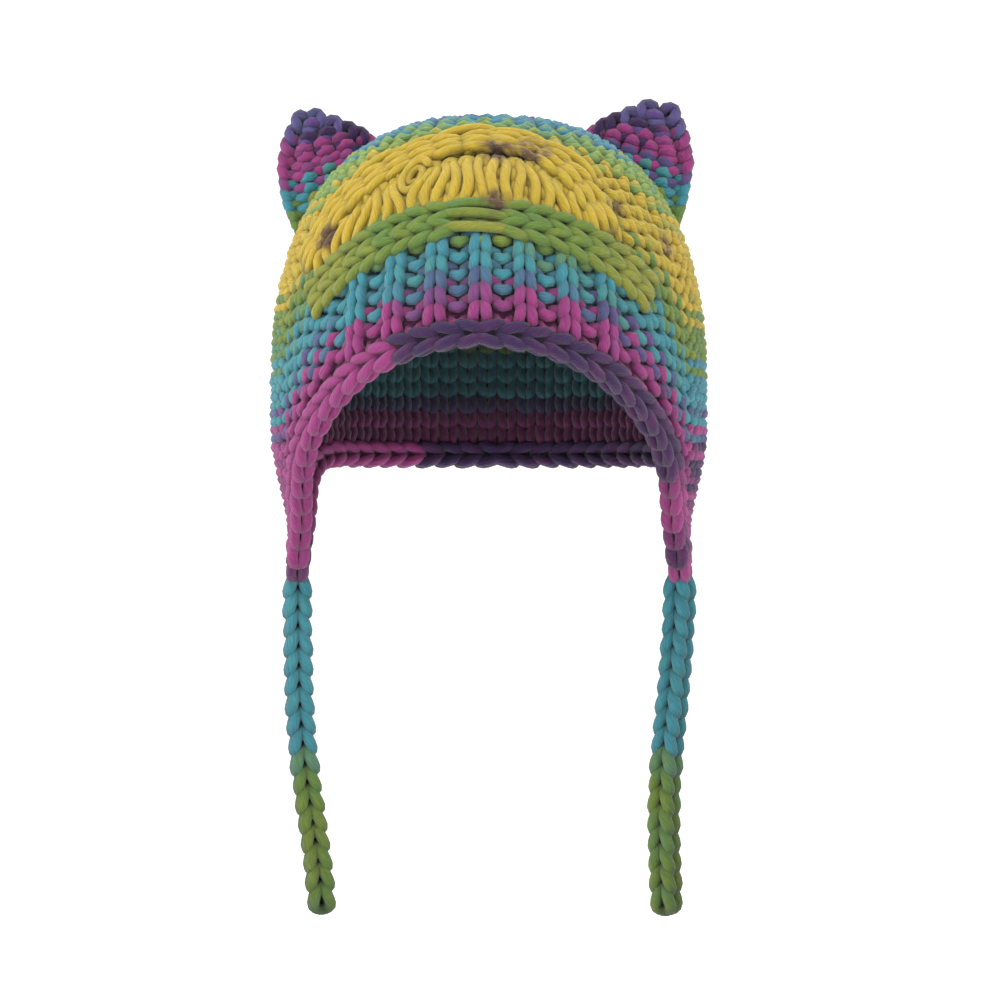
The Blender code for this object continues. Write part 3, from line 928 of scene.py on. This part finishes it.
class Shader:
    """A material's node tree."""

    def __init__(self, name):
        self.material = bpy.data.materials.new(name)
        self.material.use_nodes = True
        self.tree = self.material.node_tree
        self.surface = self.tree.nodes["Principled BSDF"]

    def node(self, kind, settings=None, sockets=None):
        """Adds a node: its settings first, then values or links for its sockets."""
        node = self.tree.nodes.new(kind)
        for name, value in (settings or {}).items():
            if name == "stops":
                self.set_stops(node.color_ramp, value)
            else:
                setattr(node, name, value)
        for name, value in (sockets or {}).items():
            self.feed(node.inputs[name], value)
        return node

    def set_stops(self, ramp, stops):
        while len(ramp.elements) > 1:
            ramp.elements.remove(ramp.elements[-1])
        for number, (position, colour) in enumerate(stops):
            element = ramp.elements[0] if number == 0 else ramp.elements.new(position)
            element.position = position
            element.color = (*colour, 1.0)

    def feed(self, target, value):
        if isinstance(value, Socket):
            value = value.output
        if isinstance(value, bpy.types.NodeSocket):
            self.tree.links.new(value, target)
        else:
            target.default_value = value

    def set(self, **sockets):
        """Values or links for the surface's own sockets."""
        for name, value in sockets.items():
            self.feed(self.surface.inputs[name.replace("_", " ")], value)

    def place(self):
        return self.node("ShaderNodeTexCoord").outputs["Object"]

    def attribute(self, name, output="Fac"):
        return self.node("ShaderNodeAttribute", {"attribute_name": name}).outputs[output]

    def noise(self, vector, scale, detail=2.0):
        sockets = {"Vector": vector, "Scale": scale, "Detail": detail}
        return Socket(self, self.node("ShaderNodeTexNoise", None, sockets).outputs["Fac"])

    def mixed(self, factor, first, second, blend="MIX"):
        """Two colours mixed. The node's inputs 6 and 7 and its output 2 are its colours."""
        settings = {"data_type": "RGBA", "blend_type": blend}
        return self.node("ShaderNodeMix", settings, {0: factor, 6: first, 7: second}).outputs[2]

    def ramp(self, factor, *stops):
        node = self.node("ShaderNodeValToRGB", {"stops": stops}, {"Fac": factor})
        return node.outputs["Color"]


def grey(value):
    return (value, value, value)


WOOL = "rainbow_wool"


def wool():
    """The one material of all the knitting, made when the first piece asks for it."""
    return bpy.data.materials.get(WOOL) or yarn_material(WOOL)


def yarn_material(name):
    """Soft plied wool in slow stripes, with flecks where one dye runs into the next, and painted shade in
    its hollows and gaps.
    """
    colours = bpy.context.scene.beanie_colours
    shader = Shader(name)
    place = shader.place()
    strand = shader.attribute("strand", "Vector")
    dye = Socket(shader, shader.attribute("dye"))
    drift = shader.noise(place, 110.0)
    last = len(RAINBOW) - 1
    stops = [(i / last, tuple(getattr(colours, key))) for i, key in enumerate(RAINBOW)]
    colour = shader.ramp((dye + (drift - 0.5) * 0.5) / last, *stops)
    ragged = shader.ramp(shader.noise(place, 260.0), (0.38, grey(0.35)), (0.55, grey(1.0)))
    fleck = shader.mixed(1.0, shader.attribute("fleck"), ragged, "MULTIPLY")
    colour = shader.mixed(fleck, colour, (*colours.brown, 1.0))
    stretch = shader.node("ShaderNodeMapping", None, {"Vector": strand, "Scale": (2.4, 2.4, 120.0)})
    fibres = shader.noise(stretch.outputs["Vector"], 2.6, 5.0)
    tone = shader.ramp(fibres, (0.28, grey(0.70)), (0.70, grey(1.18)))
    colour = shader.mixed(1.0, colour, tone, "MULTIPLY")
    # Painted shade: the shade attribute darkens the colour in the hollows and gaps
    shades = (0.16, grey(1.0)), (0.62, grey(0.62)), (1.0, grey(0.22))
    colour = shader.mixed(1.0, colour, shader.ramp(shader.attribute("shade"), *shades), "MULTIPLY")
    relief = {"Height": fibres, "Strength": 0.70, "Distance": 0.0012}
    shader.set(
        Base_Color=colour,
        Roughness=0.82 + fibres * 0.14,
        Specular_IOR_Level=0.18,
        Sheen_Weight=0.16,
        Sheen_Roughness=0.55,
        Normal=shader.node("ShaderNodeBump", None, relief).outputs["Normal"],
    )
    return shader.material


# Pieces


class BEANIE_OT_crown(Operator):
    """Knit the crown: the lower rounds with their front panel, and the rounds about the top"""

    bl_idname = "beanie.crown"
    bl_label = "Crown"

    def execute(self, context):
        sizes = context.scene.beanie_sizes
        rows = [lower_row(sizes, row) for row in range(LOWER_ROWS)]
        half = LOWER_ROWS // 2
        spin("crown_lower", rows[:half], ("crown",))
        spin("crown_middle", rows[half:])
        spin("crown_top", upper_rows(sizes))
        turn = np.linspace(0.0, 2 * math.pi, SKIN_SHAPE[1])
        line = Meridians(turn)
        shares = np.linspace(0.0, 1.0, SKIN_SHAPE[0])
        skin = [line.points((line.length + SKIN_LOW) * share - SKIN_LOW) for share in shares]
        dyes = [crown_dye(turn, FRONT_LENGTH * share) for share in shares]
        lay_shaded_skin("crown_core", np.array(skin), np.array(dyes))
        return {"FINISHED"}


def rope_track(route):
    azimuths, distances = np.array(route).T
    wanted = np.linspace(azimuths[0], azimuths[-1], ROPE_POINTS)
    points = Meridians(np.radians(wanted)).points(smooth_curve(azimuths, distances, wanted))
    return Track(points, outward(points))


def half_tracks(track, place):
    """The two parts of a track on each side of a place on it, both led away from that place."""
    split = int(np.searchsorted(track.along, place))
    left = Track(track.points[: split + 1][::-1], track.normals[: split + 1][::-1])
    return left, Track(track.points[split:], track.normals[split:])


def long_strand(track, start, end, offset, radius, dye):
    """One strand over a track, with both its ends tucked in under the links there."""
    points, across, normal = track.at(np.linspace(start, end, STRAND_POINTS))
    share = np.linspace(-1.0, 1.0, STRAND_POINTS)
    side = offset + STRAND_SWAY * np.sin(1.6 * share + 300 * offset)
    rise = STRAND_RISE - STRAND_DIP * np.abs(share) ** 4
    points = points + across * side[:, None] + normal * rise[:, None]
    # Painted shade at both tucked ends
    return Yarn(points, radius, dye, np.clip(np.abs(share) ** 6, 0, 1))


def fan_strands(radius):
    azimuths, distances = np.array(UPPER_ROPE).T
    draw = np.random.default_rng(SEED["fan"])
    share = np.linspace(0.0, 1.0, FAN_POINTS)
    yarns = []
    for number, azimuth in enumerate(np.linspace(*FAN_SPAN, FAN_STRANDS)):
        head = float(np.interp(azimuth, azimuths, distances)) - FAN_GAP
        distance = FAN_FOOT + (head - FAN_FOOT) * share
        lean = draw.uniform(-FAN_STRAY, FAN_STRAY) + (FAN_LEAN if number % 2 else -FAN_LEAN)
        place = azimuth + lean * (0.5 - share) + FAN_STRAY * np.sin(6 * share + number)
        near = np.exp(-(((distance - CURL_DISTANCE) / FAN_PART_SIZE[0]) ** 2))
        away = azimuth - CURL_AZIMUTH
        parted = math.copysign(FAN_PART, away) * math.exp(-((away / FAN_PART_SIZE[1]) ** 2))
        low, high, stray = FAN_LIFT
        lift = low + high * np.sin(math.pi * share) ** 0.6 + draw.uniform(-stray, stray)
        points = Meridians(np.radians(place + near * parted)).points(distance, lift)
        # Painted shade towards both tucked ends
        shade = FAN_SHADE * np.abs(2 * share - 1.0) ** 5
        yarns.append(Yarn(points, radius * draw.uniform(0.92, 1.06), GOLD, shade))
    return yarns


def curl(radius):
    """A spiral of yarn on the fan, from its rim to its middle."""
    share = np.linspace(0.0, 1.0, CURL_POINTS)
    turn = 2 * math.pi * CURL_TURNS * share + CURL_START
    size = (1.0 - CURL_CLOSES * share)[:, None] * CURL_SIZE
    azimuth = CURL_AZIMUTH + np.degrees(size[:, 0] * np.cos(turn) / (0.85 * HALF_DEPTH))
    distance = CURL_DISTANCE + size[:, 1] * np.sin(turn)
    points = Meridians(np.radians(azimuth)).points(distance, 0.0040 - 0.0010 * share)
    # Painted shade, growing towards the curl's middle
    return Yarn(points, radius * (1.0 - 0.25 * share), GOLD, 0.05 + 0.35 * share)


class BEANIE_OT_ropes(Operator):
    """Lay the two rope arches over the front, with the fan of long strands between them"""

    bl_idname = "beanie.ropes"
    bl_label = "Rope arches"

    def execute(self, context):
        sizes = context.scene.beanie_sizes
        thick = 0.47 * sizes.yarn
        lower, upper = rope_track(LOWER_ROPE), rope_track(UPPER_ROPE)
        middle = lower.length / 2

        def green(along):
            return ROPE_GREEN - 0.15 * math.sin(70 * along)

        yarns = []
        for half in half_tracks(lower, middle):
            for place in LOWER_PLACES:
                yarns += chain(half, sizes.link, thick, green, offset=place, **LOWER_LINK)
        for place in BRIDGE_PLACES:
            reach = BRIDGE_REACH + 0.4 * place
            dye = ROPE_GREEN + 30 * place
            yarns.append(long_strand(lower, middle - reach, middle + reach, place, thick, dye))
        spin("rope_lower", yarns)
        yarns = []
        for half in half_tracks(upper, UPPER_MIDDLE * upper.length):
            for place in UPPER_PLACES:
                link = UPPER_STRETCH * sizes.link
                yarns += chain(half, link, thick, lambda along: GOLD, offset=place, **UPPER_LINK)
        spin("rope_upper", yarns)
        yarns = fan_strands(0.49 * sizes.yarn) + [curl(0.42 * sizes.yarn)]
        first, share, step = LACE_STARTS
        for number, start in enumerate(np.arange(first, share * upper.length, step)):
            place = LACE_PLACES[number % 2]
            end = start + LACE_LENGTH
            yarns.append(long_strand(upper, start, end, place, 0.44 * sizes.yarn, GOLD))
        spin("rope_fan", yarns)
        return {"FINISHED"}


def edging_dye(track, azimuth, table):
    """The edging's dye at places along a track whose points lie at these azimuths."""
    azimuths, dyes = np.array(table).T

    def dye(along):
        place = np.interp(along, track.along, azimuth)
        return float(np.interp(min(place, 180.0 - place), azimuths, dyes))

    return dye


class BEANIE_OT_edging(Operator):
    """Chain the edging round the face, both flaps and the neck, from each middle to the flaps"""

    bl_idname = "beanie.edging"
    bl_label = "Edging"

    def execute(self, context):
        sizes = context.scene.beanie_sizes
        tip = HEM_AZIMUTHS[int(np.argmin(HEM_HEIGHTS))]
        start, end = (share * sizes.link for share in EDGING_ENDS)
        yarns = []
        for side, table in EDGING_DYES.items():
            for first in (0.0, 180.0):
                azimuth = np.linspace(first, tip, EDGING_POINTS)
                turn = side * np.radians(azimuth)
                points = mid_wall(turn, np.interp(fold(turn), HEM_AZIMUTHS, HEM_HEIGHTS))
                for facing in (1.0, -1.0):
                    track = Track(points, facing * outward(points))
                    dye = edging_dye(track, azimuth, table)
                    spread = {"start": start, "end": track.length + end, **EDGING_LINK}
                    yarns += chain(track, EDGING_STRETCH * sizes.link, 0.5 * sizes.yarn, dye, **spread)
                yarns.append(filling(track, EDGING_FILLING, dye, 0.0, track.length))
        spin("edging_chain", yarns, ("edging",))
        return {"FINISHED"}


def flap_ends(z):
    """Azimuths of a flap's front and back edge at a height."""
    tip = int(np.argmin(EDGE_HEIGHTS))
    ahead = np.interp(-z, -EDGE_HEIGHTS[: tip + 1], HEM_AZIMUTHS[: tip + 1])
    behind = np.interp(z, EDGE_HEIGHTS[tip:], HEM_AZIMUTHS[tip:])
    return math.radians(ahead), math.radians(behind)


def flap_row(sizes, side, z, dye):
    ahead, behind = flap_ends(z)
    stitches = max(1, int(round((behind - ahead) * HALF_WIDTH / sizes.stitch)))
    column, rise, lift = stitch_wave([PURL] * stitches, sizes.pinch, False)
    turn = side * (ahead + (behind - ahead) * column / stitches)
    points = mid_wall(turn, z + sizes.row * sizes.rise * rise)
    points = points + outward(points) * (sizes.depth * lift)[:, None]
    dye = np.maximum(dye + uneven(len(turn), int(-z * FLAP_SEEDS), FLAP_UNEVEN), 0.0)
    return Yarn(points, sizes.yarn / 2, dye, shade_of(lift))


class BEANIE_OT_flaps(Operator):
    """Knit the earflaps, in rows that narrow down to the ties"""

    bl_idname = "beanie.flaps"
    bl_label = "Earflaps"

    def execute(self, context):
        sizes = context.scene.beanie_sizes
        count, across = FLAP_CORE
        lowest = EDGE_HEIGHTS.min()
        for name, side in (("earflap_left", -1), ("earflap_right", 1)):
            levels, dyes = np.array(FLAP_DYES[name]).T
            yarns = []
            z = JOIN_Z - sizes.row + FIRST_ROW
            while z > lowest:
                yarns.append(flap_row(sizes, side, z, np.interp(z, levels, dyes)))
                z -= sizes.row
            spin(f"{name}_knit", yarns, (name,))
            heights = np.linspace(JOIN_Z + FLAP_CORE_INSET, lowest + FLAP_CORE_INSET, count)
            rows = []
            for z in heights:
                turn = side * np.linspace(*flap_ends(z), across)
                rows.append(mid_wall(turn, np.full(across, z)))
            dyes = np.interp(heights, levels, dyes)[:, None]
            lay_shaded_skin(f"{name}_core", np.array(rows), dyes)
        return {"FINISHED"}


def onto_dome(x, y, z):
    """Slide a point along the line from the dome's middle until it is on the dome."""
    low, high = 0.0, 4.0
    for _ in range(40):
        middle = (low + high) / 2
        round_share = math.hypot(abs(x) * middle / HALF_WIDTH, y / HALF_DEPTH) ** DOME_POWER
        rise_share = max((z - WAIST_Z) * middle / DOME_HEIGHT, 0.0) ** DOME_POWER
        low, high = (middle, high) if round_share + rise_share < 1.0 else (low, middle)
    return np.array((x * high, WAIST_Z + (z - WAIST_Z) * high))


def ear_foot(angle):
    lean = math.radians(angle)
    return onto_dome(DOME_HEIGHT * math.sin(lean), EAR_Y, WAIST_Z + DOME_HEIGHT * math.cos(lean))


def ear_outline(ear):
    """An ear's outline on the right as x and z, from deep in the crown up to the tip and back."""
    table = np.array(EAR_SECTIONS)
    inner = ear_foot(ear["inner_foot"]) + table[:, 0:2] * (ear["width"], ear["rise"])
    outer = ear_foot(EAR_OUTER_FOOT) + table[:, 2:4] * (EAR_BULGE, ear["height"])
    middle = np.array((0.0, WAIST_Z))
    deep_inner, deep_outer = (middle + (edge[0] - middle) * EAR_DEEP for edge in (inner, outer))
    return np.vstack((deep_inner, inner, outer[::-1], deep_outer))


def ear_span(outline, level, tilt):
    """Where a row's line enters and leaves the outline, with the row's direction and its upward."""
    along = np.array((math.cos(tilt), -math.sin(tilt)))
    up = np.array((math.sin(tilt), math.cos(tilt)))
    start = np.array((EAR_REACH, level)) + up * EAR_HEADROOM
    low, places = (outline - start) @ up, (outline - start) @ along
    high, onward = np.roll(low, -1), np.roll(places, -1)
    crossed = low * high < 0
    if crossed.sum() < 2:
        return None
    crossings = (places + (onward - places) * low / np.where(crossed, low - high, 1.0))[crossed]
    start = start - up * EAR_HEADROOM
    return start + along * crossings.min(), start + along * crossings.max(), up


def ear_ring(side, span, share, inset, angle, fill=0.0):
    """Points round the ear's cross-section along a row, with directions out of the ear."""
    inner, outer, _ = span
    middle, reach = (inner + outer) / 2, (outer - inner) / 2
    length = np.linalg.norm(reach)
    half_width = max(length - inset, EAR_TIP) + fill
    half_depth = max(EAR_THICKNESS / 2 * (1 - EAR_THINS * share**2) - inset, EAR_LEAST_DEPTH)
    along = reach / length
    wide, deep = (np.sign(way) * np.abs(way) ** EAR_SQUARENESS for way in (np.cos(angle), np.sin(angle)))
    x, z = middle[:, None] + along[:, None] * wide * half_width
    points = np.stack((side * x, EAR_Y - deep * half_depth, z), axis=1)
    out_wide, out_deep = wide / half_width, deep / half_depth
    normals = np.stack((side * along[0] * out_wide, -out_deep, along[1] * out_wide), axis=1)
    return points, unit(normals)


def ear_row(sizes, name, side, outline, row):
    """A round of an ear: its yarn, its share of the height, its upward, and the core's ring there."""
    pitch = EAR_ROW[name]
    share = row * pitch / EARS[name]["height"]
    tilt = math.radians(EAR_TILTS[0] + (EAR_TILTS[1] - EAR_TILTS[0]) * share)
    span = ear_span(outline, outline[-2][1] - EAR_BASE + row * pitch, tilt)
    if span is None:
        return None
    along = (span[1] - span[0]) / np.linalg.norm(span[1] - span[0])
    stand_out = np.interp(share, EAR_STAND_AT, EAR_STAND_OUT[name])
    span = (span[0] - along * EAR_STAND_IN[name], span[1] + along * stand_out, span[2])
    inset = sizes.depth + sizes.yarn / 2
    circle = np.linspace(0.0, 2 * math.pi, EAR_POINTS)
    girths = way_along(ear_ring(side, span, share, inset, circle)[0])
    half = max(2, int(round(girths[-1] / (EAR_STITCH * sizes.stitch))))
    column, wave, lift = stitch_wave(([KNIT] + [PURL] * (half - 1)) * 2, sizes.pinch, True)
    angle = np.interp((column - 0.5) / (2 * half) * girths[-1] % girths[-1], girths, circle)
    points, normals = ear_ring(side, span, share, inset, angle)
    up = np.array((side * span[2][0], 0.0, span[2][1]))
    count = len(angle)
    rise = pitch * sizes.rise * wave + uneven(count, SEED["ear_level"] + row, UNEVEN_LEVEL)
    points = points + up * rise[:, None] + normals * (sizes.depth * lift)[:, None]
    climb = EAR_STRIPES_CLIMB * smooth_step(5.0 * share - 2.0) * (0.5 - 0.5 * np.cos(angle))
    seed = SEED["ear_dye"] + row
    dye = EAR_FOOT_DYE - stripes(share + climb, EAR_STRIPES, 0.05)
    dye = dye + uneven(count, seed, EAR_UNEVEN_DYE)
    if share > EAR_STRIPES[-1]:
        dye = EAR_TIP_DYE + uneven(count, seed, EAR_UNEVEN_DYE / 2)
    yarn = Yarn(points, 0.5 * sizes.yarn, dye, shade_of(lift), True, normals)
    return yarn, share, up, ear_ring(side, span, share, inset, circle, EAR_FILL)[0]


class BEANIE_OT_ears(Operator):
    """Knit the ears in rows from their feet on the crown to their tips"""

    bl_idname = "beanie.ears"
    bl_label = "Ears"

    def execute(self, context):
        sizes = context.scene.beanie_sizes
        for name, side in (("ear_left", -1), ("ear_right", 1)):
            outline = ear_outline(EARS[name])
            rows = (ear_row(sizes, name, side, outline, row) for row in range(EAR_ROWS))
            yarns, shares, ups, rings = map(list, zip(*filter(None, rows)))
            spin(f"{name}_knit", yarns, (name,))
            middle = rings[-1].mean(axis=0)
            for shrink, lift in EAR_CORE_TOP:
                rings.append(middle + (rings[-1] - middle) * shrink + ups[-1] * lift)
                shares.append(shares[-1])
            dyes = EAR_FOOT_DYE - stripes(shares, EAR_STRIPES, 0.10)
            lay_shaded_skin(f"{name}_core", np.array(rings), dyes[:, None])
        return {"FINISHED"}


def tie_yarns(sizes, name, path, turn):
    """One of a tie's two chains, turned about the cord, and the yarn inside it."""
    facing = math.radians(turn + TIE_TURNS[name])
    normal = np.array((math.sin(facing), -math.cos(facing), 0.0))
    track = Track(path, np.broadcast_to(normal, path.shape))

    def dye(along):
        return TIE_DYE + float(stripes(along / track.length, TIE_STRIPES[name], TIE_SOFTNESS))

    radius, start, end = TIE_FILLING
    inside = filling(track, radius, dye, start, track.length - end)
    ends = {"start": -TIE_END, "end": track.length - TIE_END}
    return [inside] + chain(track, sizes.link, 0.54 * sizes.yarn, dye, **ends, **TIE_LINK)


class BEANIE_OT_ties(Operator):
    """Knit the two ties as cords of two chains each, back to back"""

    bl_idname = "beanie.ties"
    bl_label = "Ties"

    def execute(self, context):
        sizes = context.scene.beanie_sizes
        for name, route in TIE_ROUTES.items():
            route = np.array(route)
            knots = way_along(route)
            places = np.linspace(0.0, knots[-1], TIE_POINTS)
            path = np.stack([smooth_curve(knots, column, places) for column in route.T], axis=1)
            yarns = [yarn for turn in (0.0, 180.0) for yarn in tie_yarns(sizes, name, path, turn)]
            piece = spin(f"{name}_knit", yarns, (name,))
            float(np.linalg.norm(np.diff(path, axis=0), axis=1).sum())
        return {"FINISHED"}


# Studio


def studio_material():
    shader = Shader("studio_paper")
    grain = shader.noise(shader.place(), 3.0)
    shader.set(
        Base_Color=shader.ramp(grain, (0.3, grey(0.84)), (0.7, grey(0.88))),
        Emission_Color=(1.0, 1.0, 1.0, 1.0),
        Emission_Strength=0.35,
        Roughness=0.9,
    )
    return shader.material


def studio_sweep():
    """A pale round floor that curves up into a wall all the way round."""
    shape = bmesh.new()
    flat = FLOOR_RADIUS - FLOOR_BEND
    profile = [Vector((0.001, 0.0, FLOOR_Z)), Vector((flat, 0.0, FLOOR_Z))]
    for step in range(1, FLOOR_BEND_STEPS + 1):
        angle = math.pi / 2 * step / FLOOR_BEND_STEPS
        lean = Vector((FLOOR_BEND * math.sin(angle), 0.0, FLOOR_BEND * (1 - math.cos(angle))))
        profile.append(profile[1] + lean)
    profile.append(Vector((FLOOR_RADIUS, 0.0, FLOOR_Z + WALL_HEIGHT)))
    verts = [shape.verts.new(point) for point in profile]
    edges = [shape.edges.new(pair) for pair in zip(verts, verts[1:])]
    bmesh.ops.spin(
        shape,
        geom=verts + edges,
        cent=(0.0, 0.0, 0.0),
        axis=(0.0, 0.0, 1.0),
        dvec=(0.0, 0.0, 0.0),
        angle=2 * math.pi,
        steps=SPIN_STEPS,
        use_merge=True,
        use_duplicate=False,
    )
    bmesh.ops.recalc_face_normals(shape, faces=shape.faces)
    mesh = bpy.data.meshes.new("studio_sweep")
    shape.to_mesh(mesh)
    shape.free()
    mesh.shade_smooth()
    mesh.materials.append(studio_material())
    add_object("studio_sweep", mesh)


def area_light(name, place, size, power):
    lamp = bpy.data.lights.new(name, "AREA")
    lamp.shape = "DISK"
    lamp.size = size
    lamp.energy = power
    item = add_object(name, lamp)
    item.location = place
    look = Vector(LIGHTS_TARGET) - Vector(place)
    item.rotation_euler = look.to_track_quat("-Z", "Y").to_euler()


def photo_camera():
    lens = bpy.data.cameras.new("photo_camera")
    lens.sensor_width = SENSOR
    lens.lens = SENSOR * CAMERA_DISTANCE / FRAME_WIDTH
    lens.clip_start = 0.01
    camera = add_object("photo_camera", lens)
    turn = math.radians(CAMERA_AZIMUTH)
    camera.location = (
        CAMERA_DISTANCE * math.sin(turn) + CAMERA_X * math.cos(turn),
        -CAMERA_DISTANCE * math.cos(turn) + CAMERA_X * math.sin(turn),
        CAMERA_Z,
    )
    camera.rotation_euler = (math.pi / 2, 0.0, turn)
    return camera


class BEANIE_OT_stage(Operator):
    """Set up the floor, soft light and camera"""

    bl_idname = "beanie.stage"
    bl_label = "Stage"

    def execute(self, context):
        scene = context.scene
        studio_sweep()
        for light in LIGHTS:
            area_light(*light)
        world = bpy.data.worlds.new("studio")
        world.use_nodes = True
        background = world.node_tree.nodes["Background"]
        background.inputs["Color"].default_value = (1.0, 1.0, 1.0, 1.0)
        background.inputs["Strength"].default_value = WORLD_STRENGTH
        scene.world = world
        scene.view_settings.view_transform = "Standard"
        scene.camera = photo_camera()
        return {"FINISHED"}


class BEANIE_PT_panel(Panel):
    bl_idname = "BEANIE_PT_panel"
    bl_label = "Cat ear beanie"
    bl_space_type = "VIEW_3D"
    bl_region_type = "UI"
    bl_category = "Beanie"

    def draw(self, context):
        for group in (context.scene.beanie_sizes, context.scene.beanie_colours):
            column = self.layout.column(align=True)
            for key in group.__annotations__:
                column.prop(group, key)
        column = self.layout.column(align=True)
        for operator in OPERATORS:
            column.operator(operator.bl_idname)


OPERATORS = (
    BEANIE_OT_stage,
    BEANIE_OT_crown,
    BEANIE_OT_ropes,
    BEANIE_OT_edging,
    BEANIE_OT_flaps,
    BEANIE_OT_ears,
    BEANIE_OT_ties,
)
CLASSES = (KnitSizes, YarnColours, *OPERATORS, BEANIE_PT_panel)


def register():
    for item in CLASSES:
        bpy.utils.register_class(item)
    bpy.types.Scene.beanie_sizes = PointerProperty(type=KnitSizes)
    bpy.types.Scene.beanie_colours = PointerProperty(type=YarnColours)


def unregister():
    del bpy.types.Scene.beanie_colours
    del bpy.types.Scene.beanie_sizes
    for item in reversed(CLASSES):
        bpy.utils.unregister_class(item)


def main():
    register()
    bpy.ops.beanie.stage()
    bpy.ops.beanie.crown()
    bpy.ops.beanie.ropes()
    bpy.ops.beanie.edging()
    bpy.ops.beanie.flaps()
    bpy.ops.beanie.ears()
    bpy.ops.beanie.ties()


if __name__ == "__main__":
    main()
